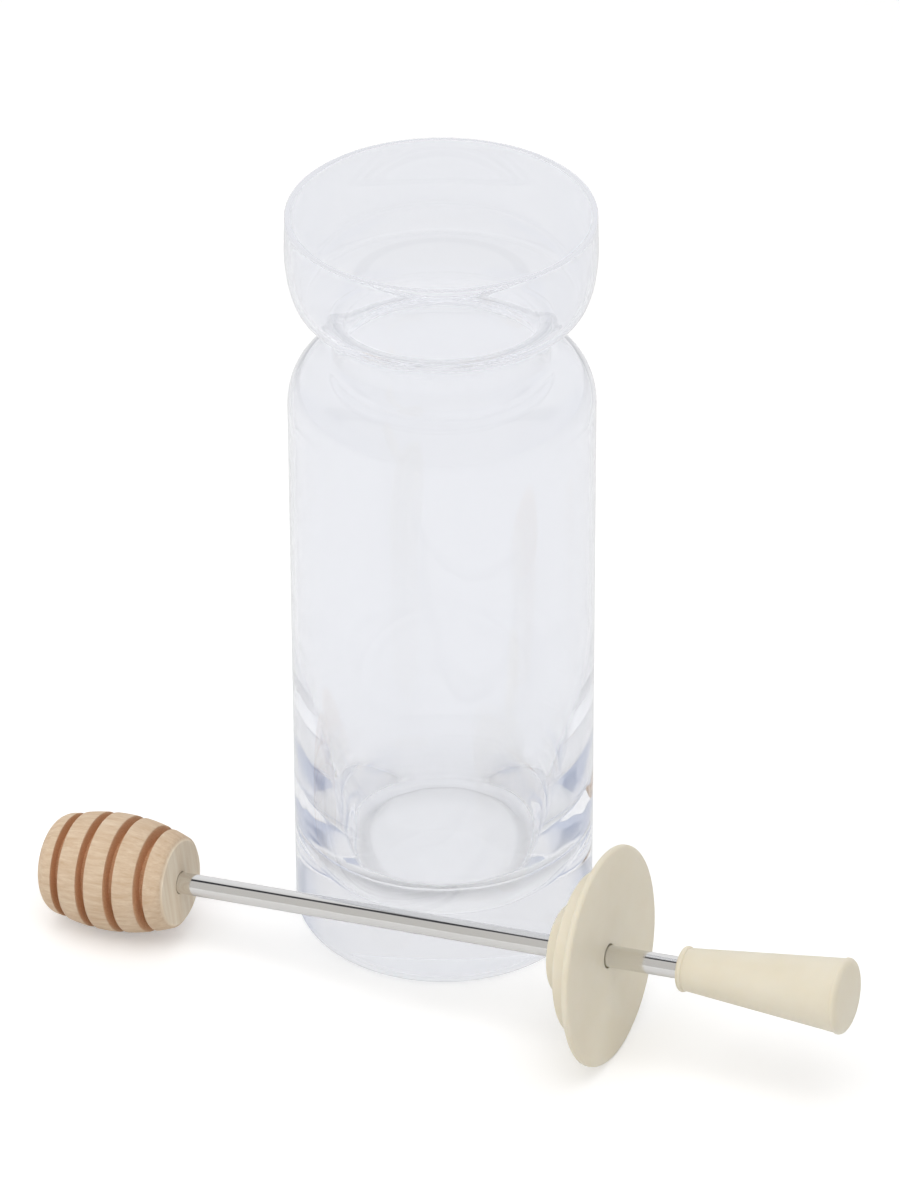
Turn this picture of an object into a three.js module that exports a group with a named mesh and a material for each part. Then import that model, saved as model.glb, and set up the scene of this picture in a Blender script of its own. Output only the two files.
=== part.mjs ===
// A tall glass honey jar with a waist, and its lid, which sits on the stem of a honey dipper
// that lies on the table in front of the jar. Millimetres, Z up. The origin is the middle of
// the jar's base, and -Y is the side that the dipper lies on.
import * as THREE from 'three';
import { mergeVertices } from 'three/addons/utils/BufferGeometryUtils.js';

// Jar: outside
const JAR_HEIGHT = 200.6;
const BODY_RADIUS = 37.5;
const HEEL = { inset: 3.6, height: 4.6 };
const SHOULDER = { z: 148.2, inset: 9.6, rise: 12.6 };
const NECK = { radius: 24.7, z: 167.0 };
const COLLAR_FLOOR = { radius: 32.9, z: 176.0 };
const COLLAR = { radius: 37.7, z: 190.9 };
const RIM_RADIUS = 37.5;

// Jar: glass thickness
const BODY_WALL = 1.5;
const NECK_WALL = 1.8;
const RIM_WALL = 1.4;
const BASE_THICKNESS = 15.3;
const TAPER = { start: 87, end: 29.5, bend: 0.0018 };
const CORNER = { radius: 28.5, z: 22.8 };
const CAVITY_FLOOR_RADIUS = 20.5;

// Dipper: distances along its axis from the face of the head where the stem enters. The head
// lies on the negative side, the lid and the handle on the positive side.
const HEAD = { length: 35.5, radius: 14.9, widestAt: -17.9, endRadius: 11.4 };
const GROOVE = { count: 4, first: -4.5, pitch: 7.8, width: 2.4, depth: 3.6 };
const HEAD_FACE_BEVEL = 0.7;
const HEAD_END_ROUND = 4.6;
const STEM_RADIUS = 2.75;
const STEM_IN_HEAD = 15;
const STEM_IN_HANDLE = 26;
const LID = { face: 117.5, radius: 27.5, thickness: 1.7, dish: 0.7 };
const LID_PLUG = { radius: 20.3, front: 110.2 };
const LID_BOSS = { radius: 11, front: 104.5 };
const HANDLE = { start: 136.2, bead: 5.7, beadLength: 1.5, neck: 5.3 };
const HANDLE_END = { seamAt: 178.0, radius: 9.4, lip: 0.25, dome: 2.0, domeInset: 2.2 };
const FIT_GAP = 0.3;

// Dipper: how it lies
const DIPPER_TURN = THREE.MathUtils.degToRad(-24);
const STEM_TO_JAR_GAP = 0.25;
const STEM_NEAREST_JAR_AT = 54.4;
const CONTACT_GAP = 0.02;

// Facets round each turned piece
const SIDES = { jar: 52, head: 36, stem: 20, lid: 48, handle: 28 };

// A quarter of an ellipse from one profile point to another, without the first point. It
// leaves the first point along the radius or along the axis and arrives along the other.
function quarter(from, to, leaves, steps) {
  return Array.from({ length: steps }, (_, i) => {
    const angle = ((i + 1) / steps) * (Math.PI / 2);
    const slow = 1 - Math.cos(angle);
    const fast = Math.sin(angle);
    const [radial, axial] = leaves === 'radius' ? [fast, slow] : [slow, fast];
    return [from[0] + (to[0] - from[0]) * radial, from[1] + (to[1] - from[1]) * axial];
  });
}

// A turned solid about Z. The profile holds [radius, z] points, listed anticlockwise with the
// radius to the right, and either starts and ends on the axis or closes on itself.
function turned(profile, sides) {
  const points = profile.map(([radius, z]) => new THREE.Vector2(radius, z));
  const lathe = new THREE.LatheGeometry(points, sides);
  lathe.deleteAttribute('normal');
  lathe.deleteAttribute('uv');
  const welded = mergeVertices(lathe, 1e-4);
  const corners = welded.index.array;
  const kept = [];
  for (let i = 0; i < corners.length; i += 3) {
    const [a, b, c] = [corners[i], corners[i + 1], corners[i + 2]];
    if (a !== b && b !== c && c !== a) kept.push(a, b, c);
  }
  welded.setIndex(kept);
  welded.rotateX(Math.PI / 2);
  welded.computeVertexNormals();
  return welded;
}

function part(name, geometry, material) {
  const mesh = new THREE.Mesh(geometry, material);
  mesh.name = name;
  return mesh;
}

function clearGlass() {
  return new THREE.MeshStandardMaterial({
    color: 0xe9eaee, roughness: 0.03, metalness: 0, transparent: true, opacity: 0.35,
  });
}

function creamPlastic() {
  return new THREE.MeshStandardMaterial({ color: 0xe4dcc6, roughness: 0.38, metalness: 0 });
}

function polishedSteel() {
  return new THREE.MeshStandardMaterial({ color: 0xc9cacc, roughness: 0.12, metalness: 1 });
}

function beech() {
  return new THREE.MeshStandardMaterial({ color: 0xdcbd97, roughness: 0.65, metalness: 0 });
}

// Jar: up the outside from the middle of the base to the rim
function jarOutside() {
  const heelStart = [BODY_RADIUS - HEEL.inset, 0];
  const heelEnd = [BODY_RADIUS, HEEL.height];
  const shoulderStart = [BODY_RADIUS, SHOULDER.z];
  const shoulderEnd = [BODY_RADIUS - SHOULDER.inset, SHOULDER.z + SHOULDER.rise];
  const neck = [NECK.radius, NECK.z];
  const floor = [COLLAR_FLOOR.radius, COLLAR_FLOOR.z];
  const widest = [COLLAR.radius, COLLAR.z];
  return [
    [0, 0], heelStart,
    ...quarter(heelStart, heelEnd, 'radius', 4),
    shoulderStart,
    ...quarter(shoulderStart, shoulderEnd, 'axis', 6),
    ...quarter(shoulderEnd, neck, 'radius', 4),
    ...quarter(neck, floor, 'axis', 5),
    ...quarter(floor, widest, 'radius', 6),
  ];
}

// Jar: the rounded lip, from the outside over to the inside
function jarLip() {
  const lip = RIM_WALL / 2;
  const outer = [RIM_RADIUS, JAR_HEIGHT - lip];
  const top = [RIM_RADIUS - lip, JAR_HEIGHT];
  const inner = [RIM_RADIUS - RIM_WALL, JAR_HEIGHT - lip];
  return [outer, ...quarter(outer, top, 'axis', 2), ...quarter(top, inner, 'radius', 2)];
}

// A bend from one profile point to another, pulled towards a corner, without the first point
function bend(from, corner, to, steps) {
  return Array.from({ length: steps }, (_, i) => {
    const after = (i + 1) / steps;
    const before = 1 - after;
    return [0, 1].map((axis) => (
      before ** 2 * from[axis] + 2 * before * after * corner[axis] + after ** 2 * to[axis]
    ));
  });
}

// Jar: the cavity's radius at a height low in the body, where the wall thickens downwards
function cavityRadius(z) {
  return BODY_RADIUS - BODY_WALL - TAPER.bend * (TAPER.start - z) ** 2;
}

// Jar: down the tapering wall and round the corner to the edge of the cavity's flat floor
function jarTaper() {
  const steps = 6;
  const wall = Array.from({ length: steps + 1 }, (_, i) => {
    const z = TAPER.start + ((TAPER.end - TAPER.start) * i) / steps;
    return [cavityRadius(z), z];
  });
  const floorEdge = [CAVITY_FLOOR_RADIUS, BASE_THICKNESS];
  return [...wall, ...bend(wall[steps], [CORNER.radius, CORNER.z], floorEdge, 7)];
}

// Jar: down the inside, from under the lip to the middle of the cavity's floor
function jarInside() {
  const widest = [COLLAR.radius - BODY_WALL, COLLAR.z];
  const floor = [COLLAR_FLOOR.radius - 0.5, COLLAR_FLOOR.z + NECK_WALL];
  const neck = [NECK.radius - NECK_WALL, NECK.z];
  const shoulderEnd = [BODY_RADIUS - SHOULDER.inset - 0.4, SHOULDER.z + SHOULDER.rise - NECK_WALL];
  const shoulderStart = [BODY_RADIUS - BODY_WALL, SHOULDER.z];
  return [
    widest,
    ...quarter(widest, floor, 'axis', 6),
    ...quarter(floor, neck, 'radius', 5),
    ...quarter(neck, shoulderEnd, 'axis', 4),
    ...quarter(shoulderEnd, shoulderStart, 'radius', 6),
    ...jarTaper(),
    [0, BASE_THICKNESS],
  ];
}

function jar() {
  const profile = [...jarOutside(), ...jarLip(), ...jarInside()];
  return part('glass_jar', turned(profile, SIDES.jar), clearGlass());
}

// Head: the barrel's radius at a distance along the axis
function barrelRadius(at) {
  const halfLength = HEAD.length / 2;
  const fall = (HEAD.radius - HEAD.endRadius) / (halfLength * halfLength);
  return HEAD.radius - fall * (at - HEAD.widestAt) ** 2;
}

// Head: from the middle of the far end along the ribs to the face, then back along the bore
function headProfile() {
  const farEnd = -HEAD.length;
  const roundStart = [barrelRadius(farEnd + HEAD_END_ROUND) - HEAD_END_ROUND, farEnd];
  const roundEnd = [barrelRadius(farEnd + HEAD_END_ROUND), farEnd + HEAD_END_ROUND];
  const profile = [[0, farEnd], roundStart, ...quarter(roundStart, roundEnd, 'radius', 5)];
  for (let i = GROOVE.count - 1; i >= 0; i -= 1) {
    const near = GROOVE.first - i * GROOVE.pitch;
    const far = near - GROOVE.width;
    const bottom = barrelRadius((near + far) / 2) - GROOVE.depth;
    const ribStart = profile[profile.length - 1][1];
    const ribMiddle = (ribStart + far) / 2;
    if (i < GROOVE.count - 1) profile.push([barrelRadius(ribMiddle), ribMiddle]);
    profile.push([barrelRadius(far), far], [bottom, far], [bottom, near], [barrelRadius(near), near]);
  }
  const faceRadius = barrelRadius(0);
  const bore = STEM_RADIUS + FIT_GAP;
  const boreEnd = -STEM_IN_HEAD - FIT_GAP;
  profile.push([barrelRadius(-HEAD_FACE_BEVEL), -HEAD_FACE_BEVEL], [faceRadius - HEAD_FACE_BEVEL, 0]);
  profile.push([bore, 0], [bore, boreEnd], [0, boreEnd]);
  return profile;
}

// Stem: one straight round rod from inside the head to inside the handle
function stemProfile() {
  const start = -STEM_IN_HEAD;
  const end = HANDLE.start + STEM_IN_HANDLE;
  return [[0, start], [STEM_RADIUS, start], [STEM_RADIUS, end], [0, end]];
}

// Lid: a ring that the stem runs through, stepped from the boss and the plug, which go into
// the jar's neck, out to the flange, whose outer face is slightly dished
function lidProfile() {
  const hole = STEM_RADIUS + FIT_GAP;
  const edge = LID.thickness / 3;
  const back = LID.face - LID.thickness;
  return [
    [hole, LID_BOSS.front],
    [LID_BOSS.radius - edge, LID_BOSS.front], [LID_BOSS.radius, LID_BOSS.front + edge],
    [LID_BOSS.radius, LID_PLUG.front],
    [LID_PLUG.radius - edge, LID_PLUG.front], [LID_PLUG.radius, LID_PLUG.front + edge],
    [LID_PLUG.radius, back],
    [LID.radius - edge, back], [LID.radius, back + edge],
    [LID.radius, LID.face - edge], [LID.radius - edge, LID.face],
    [hole, LID.face - LID.dish],
    [hole, LID_BOSS.front],
  ];
}

// Handle: a cone with a bead at its thin end and a low dome on its thick end
function handleProfile() {
  const bore = STEM_RADIUS + FIT_GAP;
  const boreEnd = HANDLE.start + STEM_IN_HANDLE + FIT_GAP;
  const bead = [HANDLE.bead, HANDLE.start + HANDLE.beadLength / 2];
  const beadEnd = [HANDLE.neck, HANDLE.start + HANDLE.beadLength];
  const seam = [HANDLE_END.radius, HANDLE_END.seamAt];
  const domeStart = [HANDLE_END.radius, HANDLE_END.seamAt + HANDLE_END.lip];
  const shoulder = [HANDLE_END.radius - HANDLE_END.domeInset, HANDLE_END.seamAt + HANDLE_END.dome * 0.8];
  const tip = HANDLE_END.seamAt + HANDLE_END.dome;
  return [
    [0, boreEnd], [bore, boreEnd], [bore, HANDLE.start],
    [HANDLE.neck - 0.6, HANDLE.start],
    ...quarter([HANDLE.neck - 0.6, HANDLE.start], bead, 'radius', 3),
    beadEnd,
    [HANDLE_END.radius - HANDLE_END.lip, HANDLE_END.seamAt - HANDLE_END.lip],
    seam,
    domeStart,
    ...quarter(domeStart, shoulder, 'axis', 4),
    [0, tip],
  ];
}

// The lowest point of a turned profile over the floor when its axis, which passes through the
// origin, rises by the tilt
function lowest(profile, tilt) {
  return Math.min(...profile.map(([radius, at]) => at * Math.sin(tilt) - radius * Math.cos(tilt)));
}

// The tilt at which the head and the lid's edge both touch the floor, found by halving
function restingTilt(head, lid) {
  let low = 0;
  let high = Math.PI / 6;
  for (let i = 0; i < 40; i += 1) {
    const middle = (low + high) / 2;
    if (lowest(lid, middle) < lowest(head, middle)) low = middle;
    else high = middle;
  }
  return low;
}

// The dipper, built along its own Z axis and laid down beside the jar
function dipper() {
  const profiles = { head: headProfile(), lid: lidProfile(), handle: handleProfile() };
  const tilt = restingTilt(profiles.head, profiles.lid);
  const plastic = creamPlastic();
  const group = new THREE.Group();
  group.add(part('dipper_head', turned(profiles.head, SIDES.head), beech()));
  group.add(part('stem', turned(stemProfile(), SIDES.stem), polishedSteel()));
  group.add(part('lid', turned(profiles.lid, SIDES.lid), plastic));
  group.add(part('handle', turned(profiles.handle, SIDES.handle), plastic));

  const along = new THREE.Vector2(Math.cos(DIPPER_TURN), Math.sin(DIPPER_TURN));
  const offset = BODY_RADIUS + STEM_RADIUS + STEM_TO_JAR_GAP;
  const back = STEM_NEAREST_JAR_AT * Math.cos(tilt);
  group.position.set(
    along.y * offset - along.x * back,
    -along.x * offset - along.y * back,
    CONTACT_GAP - lowest(profiles.head, tilt),
  );
  group.rotation.set(0, Math.PI / 2 - tilt, DIPPER_TURN, 'ZYX');
  return group;
}

const honeyJar = new THREE.Group();
honeyJar.add(jar(), dipper());

export default honeyJar;
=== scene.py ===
import math

import bpy
import numpy as np
from mathutils import Matrix, Vector, noise


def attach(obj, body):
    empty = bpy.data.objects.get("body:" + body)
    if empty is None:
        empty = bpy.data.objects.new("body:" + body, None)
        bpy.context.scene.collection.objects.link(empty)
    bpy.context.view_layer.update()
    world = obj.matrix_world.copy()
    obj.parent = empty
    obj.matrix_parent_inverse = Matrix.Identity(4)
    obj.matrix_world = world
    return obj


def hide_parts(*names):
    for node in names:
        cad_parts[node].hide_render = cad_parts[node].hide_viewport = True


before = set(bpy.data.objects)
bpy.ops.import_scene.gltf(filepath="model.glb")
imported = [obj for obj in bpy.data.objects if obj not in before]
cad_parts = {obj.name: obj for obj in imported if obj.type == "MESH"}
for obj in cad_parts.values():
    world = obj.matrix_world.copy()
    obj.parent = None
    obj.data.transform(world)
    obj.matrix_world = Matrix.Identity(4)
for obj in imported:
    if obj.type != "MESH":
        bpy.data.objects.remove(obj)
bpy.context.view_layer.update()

MM = 0.001

# Jar, in millimetres
JAR_HEIGHT = 200.6
BODY_RADIUS = 37.5
HEEL = (3.6, 4.6)
SHOULDER_Z = 148.2
SHOULDER = (9.6, 12.6)
NECK = (24.7, 167.0)
COLLAR_FLOOR = (32.9, 176.0)
COLLAR = (37.7, 190.9)
RIM_RADIUS = 37.5
BODY_WALL = 1.5
NECK_WALL = 1.8
RIM_WALL = 1.4
BASE_THICKNESS = 15.3
TAPER_START = 87.0
TAPER_END = 29.5
TAPER_BEND = 0.0018
CORNER = (28.5, 22.8)
CAVITY_FLOOR_RADIUS = 20.5
CAVITY_FLOOR_ROUND = 0.8
COLLAR_FLOOR_STEP = 0.5
SHOULDER_STEP = 0.4

# Waves on the inside of the blown jar, in millimetres: their heights, the height over which
# they fade upward, and where the collar has its own
WAVE_BROAD = 0.22
WAVE_FINE = 0.07
WAVE_COLLAR = 0.05
WAVE_FADE = 45
COLLAR_WAVE_AT = 180
COLLAR_WAVE_REACH = 30

# The waves on the cavity's floor: their share of the wall's, the radius inside which there are
# none, and the radius from which they are full
WAVE_FLOOR_SHARE = 0.6
WAVE_CENTRE = 6
WAVE_FULL = 14

# Dipper, in millimetres along its axis from the head's face
HEAD_LENGTH = 35.5
HEAD_RADIUS = 14.9
HEAD_WIDEST_AT = -17.9
HEAD_END_RADIUS = 11.4
HEAD_END_ROUND = 4.6
HEAD_FACE_BEVEL = 0.7
GROOVE_COUNT = 4
GROOVE_FIRST = -4.5
GROOVE_PITCH = 7.8
GROOVE_WIDTH = 2.4
GROOVE_DEPTH = 3.6
GROOVE_EDGE = 0.14
GROOVE_FOOT = 0.15
STEM_RADIUS = 2.75
STEM_EDGE = 0.3
STEM_IN_HEAD = 15.0
STEM_IN_HANDLE = 26.0
LID_FACE = 117.5
LID_RADIUS = 27.5
LID_THICKNESS = 1.7
LID_DISH = 0.7
LID_FACE_ROUND = 0.75
LID_BACK_ROUND = 0.55
LID_HOLE_EDGE = 0.15
PLUG_RADIUS = 20.3
PLUG_FRONT = 110.2
BOSS_RADIUS = 11.0
BOSS_FRONT = 104.5
PLUG_ROUND = 0.6
HANDLE_START = 136.2
HANDLE_BEAD = 5.7
HANDLE_BEAD_LENGTH = 1.5
HANDLE_NECK = 5.3
HANDLE_FACE_INSET = 0.6
HANDLE_SEAM_AT = 178.0
HANDLE_END_RADIUS = 9.4
HANDLE_LIP = 0.25
HANDLE_DOME = 2.0
HANDLE_DOME_INSET = 2.2
BORE_GAP = 0.3
HEAD_BORE_GAP = 0.08

# Painted shade in the grooves, darkening the wood there: the depth at which it starts, and the
# depth over which it reaches its full colour, in millimetres
GROOVE_PAINTED_SHADE_FROM = 0.03
GROOVE_PAINTED_SHADE_OVER = 0.2

# Camera: a long lens that looks down at the jar from the front
IMAGE_HEIGHT_PX = 1200
FOCAL_LENGTH_PX = 7003.5
CAMERA_ELEVATION = math.radians(32.64)
CAMERA_ROLL = -0.004
CAMERA_DISTANCE = 1.7284
CAMERA_TARGET = Vector((0.00174, 0.0, 0.09095))

# Floor: how it looks itself, its own glow, and how glass and steel see it
FLOOR_HALF_SIZE = 6.0
FLOOR_DROP = 0.00005
FLOOR_DIRECT = (0.85, 0.85, 0.85, 1.0)
FLOOR_GLOW = 0.28
FLOOR_IN_GLASS = (0.83, 0.83, 0.83, 1.0)

# A painted pool of light on the floor under the jar, standing in for the light that the glass
# gathers there, and how far from the jar's axis it is full and gone, in metres
FLOOR_PAINTED_POOL = 0.17
FLOOR_PAINTED_POOL_REACH = (0.022, 0.035)

# Studio: walls behind and in front of the jar, and a dark gap between them overhead. The reach
# of each is given on a direction's own Y, Z or X.
SKY_BEHIND = (0.88, 0.885, 0.90, 1.0)
SKY_FRONT = (0.62, 0.605, 0.585, 1.0)
SKY_TURN = (-0.35, 0.9)
SKY_GAP = (0.05, 0.05, 0.055, 1.0)
GAP_OFFSET = -0.13
GAP_WIDTH = 0.10
GAP_HEIGHT = (0.3, 0.5)

# The studio as it is seen through the glass: an even tone, cooler and darker to the sides
SKY_IN_GLASS = (0.77, 0.78, 0.81, 1.0)
SIDE_IN_GLASS = (0.45, 0.51, 0.67, 1.0)
SIDE_REACH = (0.62, 0.86)
SHARE_IN_GLASS = 0.75

# A painted glow that stands in for light caught inside the glass, and the bounces after which a
# path counts as caught
GLASS_PAINTED_GLOW = (0.79, 0.80, 0.84, 1.0)
GLASS_PAINTED_GLOW_AFTER = (11.5, 12.5)

# Lamps, in metres and watts
LAMP_POWER = 8.4
LAMP_PLACE = (-0.05, -0.35, 1.3)
LAMP_AIM = (0.0, 0.0, 0.0)
LAMP_SIZE = (1.4, 1.1)
FILL_POWER = 2.0
FILL_PLACE = (-1.0, -0.35, 0.5)
FILL_AIM = (-0.08, 0.0, 0.02)
FILL_SIZE = (1.0, 0.8)
BOUNCES = 32
GLOSSY_BOUNCES = 24


def quarter(start, end, leaves, steps):
    """A quarter of an ellipse between two profile points, without the first. It leaves the
    first along the radius or along the axis and arrives along the other."""
    points = []
    for i in range(1, steps + 1):
        angle = math.pi / 2 * i / steps
        slow, fast = 1 - math.cos(angle), math.sin(angle)
        radial, axial = (fast, slow) if leaves == "radius" else (slow, fast)
        points.append((start[0] + (end[0] - start[0]) * radial,
                       start[1] + (end[1] - start[1]) * axial))
    return points


def bend(start, corner, end, steps):
    """A bend between two profile points, pulled towards a corner, without the first."""
    points = []
    for i in range(1, steps + 1):
        after, before = i / steps, 1 - i / steps
        points.append(tuple(before ** 2 * start[k] + 2 * before * after * corner[k]
                            + after ** 2 * end[k] for k in (0, 1)))
    return points


def straight(start, end, steps):
    """Points on a straight stretch of a profile, without the first."""
    return [(start[0] + (end[0] - start[0]) * i / steps, start[1] + (end[1] - start[1]) * i / steps)
            for i in range(1, steps + 1)]


def turned(name, profile, sides, placement=Matrix.Identity(4), shift=None, sharp=40):
    """A turned mesh about the local Z axis. The profile is in millimetres, and either starts
    and ends on the axis or closes on itself. shift gives each point's own move, in mm."""
    closed = profile[0] == profile[-1]
    rings = profile[:-1] if closed else profile[1:-1]
    places = []
    for index, (radius, at) in enumerate(rings):
        for side in range(sides):
            angle = 2 * math.pi * side / sides
            r, z = (radius, at) if shift is None else shift(index, radius, at, angle)
            places.append((r * math.cos(angle), r * math.sin(angle), z))
    faces = []
    count = len(rings)
    for i in range(count if closed else count - 1):
        j = (i + 1) % count
        for side in range(sides):
            k = (side + 1) % sides
            faces.append((i * sides + side, i * sides + k, j * sides + k, j * sides + side))
    if not closed:
        first, last = len(places), len(places) + 1
        places += [(0.0, 0.0, profile[0][1]), (0.0, 0.0, profile[-1][1])]
        end = (count - 1) * sides
        for side in range(sides):
            k = (side + 1) % sides
            faces.append((first, k, side))
            faces.append((last, end + side, end + k))
    verts = [placement @ (Vector(p) * MM) for p in places]
    mesh = bpy.data.meshes.new(name)
    mesh.from_pydata(verts, [], faces)
    place = mesh.attributes.new("place", "FLOAT_VECTOR", "POINT")
    place.data.foreach_set("vector", [c for p in places for c in p])
    mesh.validate()
    mesh.shade_smooth()
    mesh.set_sharp_from_angle(angle=math.radians(sharp))
    piece = bpy.data.objects.new(name, mesh)
    bpy.context.scene.collection.objects.link(piece)
    return piece


def dipper_placement():
    """Where the dipper's own frame lies: the stem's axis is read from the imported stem."""
    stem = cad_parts["stem"].data
    points = np.array([v.co for v in stem.vertices], float)
    middle = points.mean(0)
    along = np.linalg.svd(points - middle)[2][0]
    if along[0] < 0:
        along = -along
    start = middle + along * ((points - middle) @ along).min()
    axis = Vector(along)
    origin = Vector(start) + axis * STEM_IN_HEAD * MM
    level = Vector((0, 0, 1)).cross(axis).normalized()
    upright = axis.cross(level)
    turn = Matrix((level, upright, axis)).transposed().to_4x4()
    return Matrix.Translation(origin) @ turn


# Shapes

def jar_profile():
    heel_start, heel_end = (BODY_RADIUS - HEEL[0], 0.0), (BODY_RADIUS, HEEL[1])
    shoulder_start = (BODY_RADIUS, SHOULDER_Z)
    shoulder_end = (BODY_RADIUS - SHOULDER[0], SHOULDER_Z + SHOULDER[1])
    outside = [(0.0, 0.0)] + straight((0, 0), heel_start, 6)
    outside += quarter(heel_start, heel_end, "radius", 12)
    outside += straight(heel_end, shoulder_start, 60)
    outside += quarter(shoulder_start, shoulder_end, "axis", 18)
    outside += quarter(shoulder_end, NECK, "radius", 12)
    outside += quarter(NECK, COLLAR_FLOOR, "axis", 16)
    outside += quarter(COLLAR_FLOOR, COLLAR, "radius", 18)
    lip = RIM_WALL / 2
    outer, top = (RIM_RADIUS, JAR_HEIGHT - lip), (RIM_RADIUS - lip, JAR_HEIGHT)
    inner = (RIM_RADIUS - RIM_WALL, JAR_HEIGHT - lip)
    outside += straight(COLLAR, outer, 6)
    outside += quarter(outer, top, "axis", 6) + quarter(top, inner, "radius", 6)
    widest = (COLLAR[0] - BODY_WALL, COLLAR[1])
    floor = (COLLAR_FLOOR[0] - COLLAR_FLOOR_STEP, COLLAR_FLOOR[1] + NECK_WALL)
    neck = (NECK[0] - NECK_WALL, NECK[1])
    inner_shoulder_end = (shoulder_end[0] - SHOULDER_STEP, shoulder_end[1] - NECK_WALL)
    inner_shoulder_start = (BODY_RADIUS - BODY_WALL, SHOULDER_Z)
    taper_start = (BODY_RADIUS - BODY_WALL, TAPER_START)
    inside = straight(inner, widest, 6)
    inside += quarter(widest, floor, "axis", 18)
    inside += quarter(floor, neck, "radius", 16)
    inside += quarter(neck, inner_shoulder_end, "axis", 12)
    inside += quarter(inner_shoulder_end, inner_shoulder_start, "radius", 18)
    inside += straight(inner_shoulder_start, taper_start, 30)
    for step in range(1, 31):
        z = TAPER_START + (TAPER_END - TAPER_START) * step / 30
        inside.append((taper_start[0] - TAPER_BEND * (TAPER_START - z) ** 2, z))
    floor_edge = (CAVITY_FLOOR_RADIUS, BASE_THICKNESS)
    corner = bend(inside[-1], CORNER, floor_edge, 24)
    floor_round = (CAVITY_FLOOR_RADIUS - CAVITY_FLOOR_ROUND, BASE_THICKNESS)
    inside += corner[:-1] + bend(corner[-2], floor_edge, floor_round, 6)
    inside += straight(floor_round, (0.0, BASE_THICKNESS), 12)
    return outside + inside, len(outside)


def make_jar():
    profile, outside_count = jar_profile()

    def blown(index, radius, at, angle):
        """The faint unevenness of blown glass, on the inside only, most of it low down."""
        if index + 1 < outside_count or radius < WAVE_CENTRE:
            return radius, at
        low = math.exp(-max(at - BASE_THICKNESS, 0) / WAVE_FADE)
        high = max(0.0, 1 - abs(at - COLLAR_WAVE_AT) / COLLAR_WAVE_REACH)
        ring = Vector((math.cos(angle) * 2.2, math.sin(angle) * 2.2, at / 28))
        wave = noise.noise(ring) * WAVE_BROAD * low
        turn = angle + at / 60
        twist = Vector((math.cos(turn) * 6, math.sin(turn) * 6, at / 40 + 7))
        wave += noise.noise(twist) * WAVE_FINE * low
        wave += noise.noise(ring * 0.6) * WAVE_COLLAR * high
        if at <= BASE_THICKNESS + 0.01:
            return radius, at + wave * min(1.0, radius / WAVE_FULL) * WAVE_FLOOR_SHARE
        return radius + wave, at

    return turned("glass_jar_blown", profile, 160, shift=blown, sharp=50)


def barrel_radius(at):
    half = HEAD_LENGTH / 2
    fall = (HEAD_RADIUS - HEAD_END_RADIUS) / (half * half)
    return HEAD_RADIUS - fall * (at - HEAD_WIDEST_AT) ** 2


def make_head():
    far_end = -HEAD_LENGTH
    edge = GROOVE_EDGE
    round_end = (barrel_radius(far_end + HEAD_END_ROUND), far_end + HEAD_END_ROUND)
    round_start = (round_end[0] - HEAD_END_ROUND, far_end)
    profile = [(0.0, far_end)] + straight((0.0, far_end), round_start, 4)
    profile += quarter(round_start, round_end, "radius", 10)
    for i in reversed(range(GROOVE_COUNT)):
        near = GROOVE_FIRST - i * GROOVE_PITCH
        far = near - GROOVE_WIDTH
        bottom = barrel_radius((near + far) / 2) - GROOVE_DEPTH
        start = profile[-1][1]
        for step in range(1, 7):
            at = start + (far - edge - start) * step / 6
            profile.append((barrel_radius(at), at))
        rim = barrel_radius(far)
        profile += [(rim - edge * 0.3, far - edge * 0.3), (rim - edge, far)]
        profile += straight((rim - edge, far), (bottom + GROOVE_FOOT, far), 5)
        profile += [(bottom, far + GROOVE_FOOT), (bottom, near - GROOVE_FOOT)]
        rim = barrel_radius(near)
        profile += straight((bottom, near - GROOVE_FOOT), (rim - edge, near), 5)
        profile += [(rim - edge * 0.3, near + edge * 0.3),
                    (barrel_radius(near + edge), near + edge)]
    start = profile[-1][1]
    for step in range(1, 5):
        at = start + (-HEAD_FACE_BEVEL - start) * step / 4
        profile.append((barrel_radius(at), at))
    face_edge = (barrel_radius(0) - HEAD_FACE_BEVEL, 0.0)
    profile += straight(profile[-1], face_edge, 3)
    bore = STEM_RADIUS + HEAD_BORE_GAP
    bore_end = -STEM_IN_HEAD - BORE_GAP
    profile += straight(face_edge, (bore + 0.1, 0.0), 5)
    profile += [(bore, -0.1), (bore, bore_end), (0.0, bore_end)]
    return turned("dipper_head_beech", profile, 144, dipper_placement(), sharp=35)


def make_stem():
    start, end = -STEM_IN_HEAD, HANDLE_START + STEM_IN_HANDLE
    edge = STEM_EDGE
    profile = [(0.0, start), (STEM_RADIUS - edge, start), (STEM_RADIUS, start + edge)]
    profile += straight((STEM_RADIUS, start + edge), (STEM_RADIUS, end - edge), 40)
    profile += [(STEM_RADIUS - edge, end), (0.0, end)]
    return turned("stem_rod", profile, 64, dipper_placement())


def rounded_corner(corner, size, turn_in, turn_out, steps=5):
    """A rounded corner of a profile, from a point before the corner to a point after it."""
    start = (corner[0] + turn_in[0] * size, corner[1] + turn_in[1] * size)
    end = (corner[0] + turn_out[0] * size, corner[1] + turn_out[1] * size)
    leaves = "radius" if turn_in[1] == 0 else "axis"
    return [start] + quarter(start, end, leaves, steps)


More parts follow.
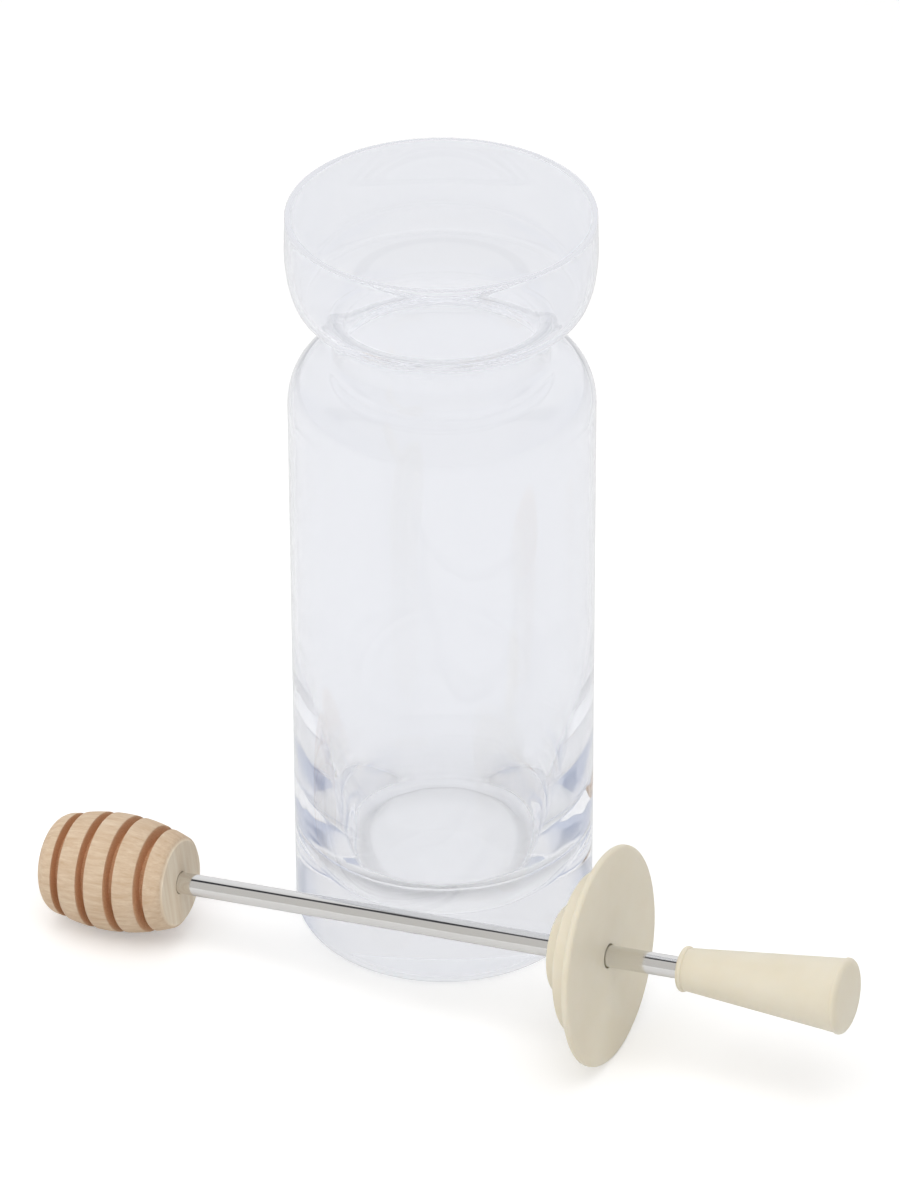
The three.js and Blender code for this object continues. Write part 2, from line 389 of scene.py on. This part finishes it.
def make_lid():
    hole = STEM_RADIUS + BORE_GAP
    back = LID_FACE - LID_THICKNESS
    profile = [(hole, BOSS_FRONT)]
    profile += rounded_corner((BOSS_RADIUS, BOSS_FRONT), PLUG_ROUND, (-1, 0), (0, 1))
    profile += [(BOSS_RADIUS, PLUG_FRONT)]
    profile += rounded_corner((PLUG_RADIUS, PLUG_FRONT), PLUG_ROUND, (-1, 0), (0, 1))
    profile += [(PLUG_RADIUS, back)]
    profile += rounded_corner((LID_RADIUS, back), LID_BACK_ROUND, (-1, 0), (0, 1))
    profile += rounded_corner((LID_RADIUS, LID_FACE), LID_FACE_ROUND, (0, -1), (-1, 0))
    dish = LID_FACE - LID_DISH
    profile += straight(profile[-1], (hole + LID_HOLE_EDGE, dish), 12)
    profile += [(hole, dish - LID_HOLE_EDGE), (hole, BOSS_FRONT)]
    return turned("lid_cap", profile, 192, dipper_placement(), sharp=35)


def make_handle():
    bore = STEM_RADIUS + BORE_GAP
    bore_end = HANDLE_START + STEM_IN_HANDLE + BORE_GAP
    profile = [(0.0, bore_end), (bore, bore_end), (bore, HANDLE_START)]
    face = (HANDLE_NECK - HANDLE_FACE_INSET, HANDLE_START)
    bead = (HANDLE_BEAD, HANDLE_START + HANDLE_BEAD_LENGTH / 2)
    profile += [face] + quarter(face, bead, "radius", 6)
    profile += quarter(bead, (HANDLE_NECK, HANDLE_START + HANDLE_BEAD_LENGTH), "axis", 6)
    cone_end = (HANDLE_END_RADIUS - HANDLE_LIP, HANDLE_SEAM_AT - HANDLE_LIP)
    profile += straight(profile[-1], cone_end, 20)
    seam = (HANDLE_END_RADIUS, HANDLE_SEAM_AT)
    dome_start = (HANDLE_END_RADIUS, HANDLE_SEAM_AT + HANDLE_LIP)
    rounding = (HANDLE_END_RADIUS - HANDLE_DOME_INSET, HANDLE_SEAM_AT + HANDLE_DOME * 0.8)
    tip = (0.0, HANDLE_SEAM_AT + HANDLE_DOME)
    profile += [seam, dome_start] + quarter(dome_start, rounding, "axis", 12)
    profile += straight(rounding, tip, 6)
    return turned("handle_grip", profile, 128, dipper_placement(), sharp=35)


# Materials

class Nodes:
    """A short way to build one material's node tree."""

    def __init__(self, name):
        self.material = bpy.data.materials.new(name)
        self.material.use_nodes = True
        self.tree = self.material.node_tree
        self.shader = self.tree.nodes["Principled BSDF"]
        self.output = self.tree.nodes["Material Output"]

    def add(self, kind, settings=None, **inputs):
        node = self.tree.nodes.new("ShaderNode" + kind)
        for key, value in (settings or {}).items():
            setattr(node, key, value)
        for key, value in inputs.items():
            self.put(node.inputs[key.replace("_", " ")], value)
        return node

    def put(self, socket, value):
        if isinstance(value, bpy.types.NodeSocket):
            self.tree.links.new(value, socket)
        else:
            socket.default_value = value

    def set(self, **inputs):
        for key, value in inputs.items():
            self.put(self.shader.inputs[key.replace("_", " ")], value)

    def place(self):
        return self.add("Attribute", {"attribute_name": "place"}).outputs["Vector"]

    def scaled(self, vector, scale):
        node = self.add("VectorMath", {"operation": "MULTIPLY"})
        self.put(node.inputs[0], vector)
        self.put(node.inputs[1], scale)
        return node.outputs[0]

    def noise(self, vector, scale, detail=4.0, roughness=0.5, distortion=0.0):
        node = self.add("TexNoise", Scale=scale, Detail=detail, Roughness=roughness,
                        Distortion=distortion)
        self.put(node.inputs["Vector"], vector)
        return node.outputs["Fac"]

    def range(self, value, low, high, to_low, to_high):
        node = self.add("MapRange")
        for key, number in zip(("From Min", "From Max", "To Min", "To Max"),
                               (low, high, to_low, to_high)):
            node.inputs[key].default_value = number
        self.put(node.inputs["Value"], value)
        return node.outputs["Result"]

    def mix(self, factor, first, second):
        node = self.add("Mix", {"data_type": "RGBA"})
        self.put(node.inputs[0], factor)
        self.put(node.inputs[6], first)
        self.put(node.inputs[7], second)
        return node.outputs[2]

    def bump(self, height, strength, distance):
        node = self.add("Bump", Strength=strength, Distance=distance)
        self.put(node.inputs["Height"], height)
        return node.outputs["Normal"]


def colour(red, green, blue):
    return (red, green, blue, 1.0)


def glass():
    nodes = Nodes("clear_glass")
    place = nodes.place()
    smear = nodes.noise(nodes.scaled(place, (0.05, 0.05, 0.02)), 1.0, 3)
    nodes.set(Base_Color=colour(0.984, 0.986, 0.993), IOR=1.5, Transmission_Weight=1.0,
              Roughness=nodes.range(smear, 0.45, 0.8, 0.0, 0.012))
    path = nodes.add("LightPath")
    clear = nodes.add("BsdfTransparent", Color=colour(0.985, 0.987, 0.99))
    both = nodes.add("MixShader")
    nodes.put(both.inputs[0], path.outputs["Is Shadow Ray"])
    nodes.put(both.inputs[1], nodes.shader.outputs[0])
    nodes.put(both.inputs[2], clear.outputs[0])
    # Painted light: the glass glows grey where a path has run out of bounces
    painted_glow = nodes.add("Emission", Color=GLASS_PAINTED_GLOW)
    deep = nodes.add("MixShader")
    nodes.put(deep.inputs[0], nodes.range(path.outputs["Ray Depth"], *GLASS_PAINTED_GLOW_AFTER, 0.0, 1.0))
    nodes.put(deep.inputs[1], both.outputs[0])
    nodes.put(deep.inputs[2], painted_glow.outputs[0])
    nodes.put(nodes.output.inputs["Surface"], deep.outputs[0])
    return nodes.material


def cream_plastic():
    nodes = Nodes("cream_plastic")
    place = nodes.place()
    cloud = nodes.noise(nodes.scaled(place, (0.09, 0.09, 0.09)), 1.0, 3)
    fine = nodes.noise(nodes.scaled(place, (2.2, 2.2, 2.2)), 1.0, 2)
    base = nodes.mix(nodes.range(cloud, 0.3, 0.7, 0.0, 1.0),
                     colour(0.80, 0.735, 0.585), colour(0.83, 0.775, 0.64))
    nodes.set(Base_Color=base, Roughness=nodes.range(fine, 0.2, 0.8, 0.33, 0.43),
              Normal=nodes.bump(fine, 0.06, 0.0002), IOR=1.5, Subsurface_Weight=0.15,
              Subsurface_Radius=(1.0, 0.8, 0.5), Subsurface_Scale=0.0015)
    return nodes.material


def steel():
    nodes = Nodes("polished_steel")
    place = nodes.place()
    drawn = nodes.noise(nodes.scaled(place, (3.0, 3.0, 0.06)), 1.0, 3)
    nodes.set(Base_Color=colour(0.80, 0.795, 0.785), Metallic=1.0,
              Roughness=nodes.range(drawn, 0.3, 0.8, 0.05, 0.14),
              Normal=nodes.bump(drawn, 0.04, 0.0002))
    return nodes.material


def beech():
    nodes = Nodes("bare_beech")
    place = nodes.place()
    along = nodes.noise(nodes.scaled(place, (0.9, 0.9, 0.09)), 1.0, 5, 0.6, 0.4)
    pores = nodes.noise(nodes.scaled(place, (3.2, 3.2, 0.5)), 1.0, 4, 0.65)
    wood = nodes.mix(nodes.range(along, 0.3, 0.72, 0.0, 1.0),
                     colour(0.63, 0.46, 0.31), colour(0.77, 0.63, 0.475))
    wood = nodes.mix(nodes.range(pores, 0.35, 0.6, 0.2, 0.0), wood, colour(0.46, 0.29, 0.17))
    bands = nodes.noise(nodes.scaled(place, (0.5, 0.05, 0.0)), 1.0, 3, 0.5, 0.3)
    end_grain = nodes.mix(nodes.range(bands, 0.35, 0.65, 0.0, 1.0),
                          colour(0.80, 0.67, 0.51), colour(0.89, 0.79, 0.64))
    at = nodes.add("SeparateXYZ", Vector=place).outputs["Z"]
    wood = nodes.mix(nodes.range(at, -0.5, -0.1, 0.0, 1.0), wood, end_grain)
    # Painted shade: the grooves' wood is darkened by how deep each point lies in them
    painted_shade_mask = nodes.add("Attribute", {"attribute_name": "painted_groove_shade"}).outputs["Fac"]
    shaded_groove_wood = nodes.mix(nodes.range(pores, 0.3, 0.7, 0.0, 1.0),
                      colour(0.56, 0.315, 0.17), colour(0.73, 0.45, 0.275))
    nodes.set(Base_Color=nodes.mix(painted_shade_mask, wood, shaded_groove_wood), Roughness=0.7, Specular_IOR_Level=0.15,
              Normal=nodes.bump(pores, 0.25, 0.0003))
    return nodes.material


def mark_painted_groove_shade(piece):
    """Writes on each point of the head how deep in a groove it is, for the painted shade in the
    grooves.
    """
    places = [tuple(point.vector) for point in piece.data.attributes["place"].data]
    painted_groove_shade = piece.data.attributes.new("painted_groove_shade", "FLOAT", "POINT")
    groove_end = GROOVE_FIRST - GROOVE_WIDTH - (GROOVE_COUNT - 1) * GROOVE_PITCH
    for i, (x, y, at) in enumerate(places):
        depth = barrel_radius(at) - math.hypot(x, y)
        inside = groove_end - 0.1 < at < GROOVE_FIRST + 0.1
        dark = min(1.0, max(0.0, (depth - GROOVE_PAINTED_SHADE_FROM) / GROOVE_PAINTED_SHADE_OVER))
        painted_groove_shade.data[i].value = dark if inside else 0.0


def floor_white():
    """A floor that is white to the eye and pale grey to glass and steel, with a painted pool of
    light under the jar."""
    nodes = Nodes("floor_white")
    path = nodes.add("LightPath")
    shade = nodes.mix(path.outputs["Is Camera Ray"], FLOOR_IN_GLASS, FLOOR_DIRECT)
    glow = nodes.range(path.outputs["Is Camera Ray"], 0.0, 1.0, 0.0, FLOOR_GLOW)
    # Painted light: a glowing pool on the floor under the jar, seen through the glass
    reach = nodes.add("VectorMath", {"operation": "LENGTH"})
    nodes.put(reach.inputs[0], nodes.add("NewGeometry").outputs["Position"])
    painted_pool = nodes.range(reach.outputs["Value"], *FLOOR_PAINTED_POOL_REACH, FLOOR_PAINTED_POOL, 0.0)
    strength = nodes.add("Math", {"operation": "MAXIMUM"})
    nodes.put(strength.inputs[0], glow)
    nodes.put(strength.inputs[1], painted_pool)
    nodes.set(Base_Color=shade, Roughness=0.9, Specular_IOR_Level=0.0,
              Emission_Color=colour(1, 1, 1), Emission_Strength=strength.outputs[0])
    return nodes.material


# Scene

def dress():
    cream = cream_plastic()
    rows = [(make_jar(), "glass_jar", "jar_glass", glass()),
            (make_head(), "dipper_head", "head_wood", beech()),
            (make_stem(), "stem", "stem_steel", steel()),
            (make_lid(), "lid", "lid_plastic", cream),
            (make_handle(), "handle", "handle_plastic", cream)]
    for piece, node, slot, material in rows:
        piece.data.materials.append(material)
        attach(piece, "root")
        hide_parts(node)
    mark_painted_groove_shade(rows[1][0])


def make_floor():
    mesh = bpy.data.meshes.new("floor")
    corners = [(-1, -1), (1, -1), (1, 1), (-1, 1)]
    mesh.from_pydata([(x * FLOOR_HALF_SIZE, y * FLOOR_HALF_SIZE, -FLOOR_DROP) for x, y in corners],
                     [], [(0, 1, 2, 3)])
    plane = bpy.data.objects.new("floor", mesh)
    bpy.context.scene.collection.objects.link(plane)
    mesh.materials.append(floor_white())


def soft_light(name, place, aim, size, power):
    data = bpy.data.lights.new(name, "AREA")
    data.shape = "RECTANGLE"
    data.size, data.size_y = size
    data.energy = power
    data.cycles.use_multiple_importance_sampling = False
    lamp = bpy.data.objects.new(name, data)
    lamp.location = place
    lamp.rotation_euler = (Vector(aim) - Vector(place)).to_track_quat("-Z", "Y").to_euler()
    lamp.visible_glossy = False
    lamp.visible_transmission = False
    bpy.context.scene.collection.objects.link(lamp)


def studio():
    """Pale walls behind, dimmer and warmer ones in front, a dark gap overhead, and an even
    tone with cooler sides for what is seen through the glass."""
    world = bpy.data.worlds.new("studio")
    world.use_nodes = True
    tree = world.node_tree
    background = tree.nodes["Background"]

    def add(kind, settings=None, inputs=()):
        node = tree.nodes.new("ShaderNode" + kind)
        for key, value in (settings or {}).items():
            setattr(node, key, value)
        for index, value in inputs:
            if isinstance(value, bpy.types.NodeSocket):
                tree.links.new(value, node.inputs[index])
            else:
                node.inputs[index].default_value = value
        return node

    way = add("SeparateXYZ", inputs=[(0, add("TexCoord").outputs["Generated"])])
    side, up = way.outputs["Y"], way.outputs["Z"]
    behind = add("MapRange", {"interpolation_type": "SMOOTHSTEP"},
                 [(0, side), (1, SKY_TURN[0]), (2, SKY_TURN[1]), (3, 0.0), (4, 1.0)])
    walls = add("Mix", {"data_type": "RGBA"},
                [(0, behind.outputs[0]), (6, SKY_FRONT), (7, SKY_BEHIND)])
    shifted = add("Math", {"operation": "ADD"}, [(0, side), (1, GAP_OFFSET)])
    off = add("Math", {"operation": "ABSOLUTE"}, [(0, shifted.outputs[0])])
    near = add("MapRange", {"interpolation_type": "SMOOTHSTEP"},
               [(0, off.outputs[0]), (1, GAP_WIDTH), (2, GAP_WIDTH * 2), (3, 1.0), (4, 0.0)])
    high = add("MapRange", {},
               [(0, up), (1, GAP_HEIGHT[0]), (2, GAP_HEIGHT[1]), (3, 0.0), (4, 1.0)])
    gap = add("Math", {"operation": "MULTIPLY"}, [(0, near.outputs[0]), (1, high.outputs[0])])
    sky = add("Mix", {"data_type": "RGBA"},
              [(0, gap.outputs[0]), (6, walls.outputs[2]), (7, SKY_GAP)])
    across = add("Math", {"operation": "ABSOLUTE"}, [(0, way.outputs["X"])])
    aside = add("MapRange", {"interpolation_type": "SMOOTHSTEP"},
                [(0, across.outputs[0]), (1, SIDE_REACH[0]), (2, SIDE_REACH[1]),
                 (3, 0.0), (4, 1.0)])
    through = add("Mix", {"data_type": "RGBA"},
                  [(0, aside.outputs[0]), (6, SKY_IN_GLASS), (7, SIDE_IN_GLASS)])
    depth = add("LightPath").outputs["Transmission Depth"]
    within = add("MapRange", {},
                 [(0, depth), (1, 0.0), (2, 1.0), (3, 0.0), (4, SHARE_IN_GLASS)])
    seen = add("Mix", {"data_type": "RGBA"},
               [(0, within.outputs[0]), (6, sky.outputs[2]), (7, through.outputs[2])])
    tree.links.new(seen.outputs[2], background.inputs["Color"])
    return world


def light():
    bpy.context.scene.world = studio()
    soft_light("overhead", LAMP_PLACE, LAMP_AIM, LAMP_SIZE, LAMP_POWER)
    soft_light("fill", FILL_PLACE, FILL_AIM, FILL_SIZE, FILL_POWER)
    scene = bpy.context.scene
    scene.view_settings.view_transform = "Standard"
    scene.cycles.max_bounces = BOUNCES
    scene.cycles.glossy_bounces = GLOSSY_BOUNCES
    scene.cycles.transmission_bounces = BOUNCES
    scene.cycles.transparent_max_bounces = BOUNCES


def make_camera():
    data = bpy.data.cameras.new("camera")
    data.sensor_width = 36.0
    data.lens = FOCAL_LENGTH_PX / IMAGE_HEIGHT_PX * data.sensor_width
    data.clip_start, data.clip_end = 0.1, 30.0
    camera = bpy.data.objects.new("camera", data)
    back = Vector((0, -math.cos(CAMERA_ELEVATION), math.sin(CAMERA_ELEVATION)))
    up = Vector((0, math.sin(CAMERA_ELEVATION), math.cos(CAMERA_ELEVATION)))
    right = Vector((1, 0, 0))
    cos, sin = math.cos(CAMERA_ROLL), math.sin(CAMERA_ROLL)
    turned_right, turned_up = cos * right + sin * up, cos * up - sin * right
    rotation = Matrix((turned_right, turned_up, back)).transposed().to_4x4()
    camera.matrix_world = Matrix.Translation(CAMERA_TARGET + back * CAMERA_DISTANCE) @ rotation
    bpy.context.scene.collection.objects.link(camera)
    bpy.context.scene.camera = camera


make_camera()
make_floor()
light()
dress()
bpy.context.view_layer.update()
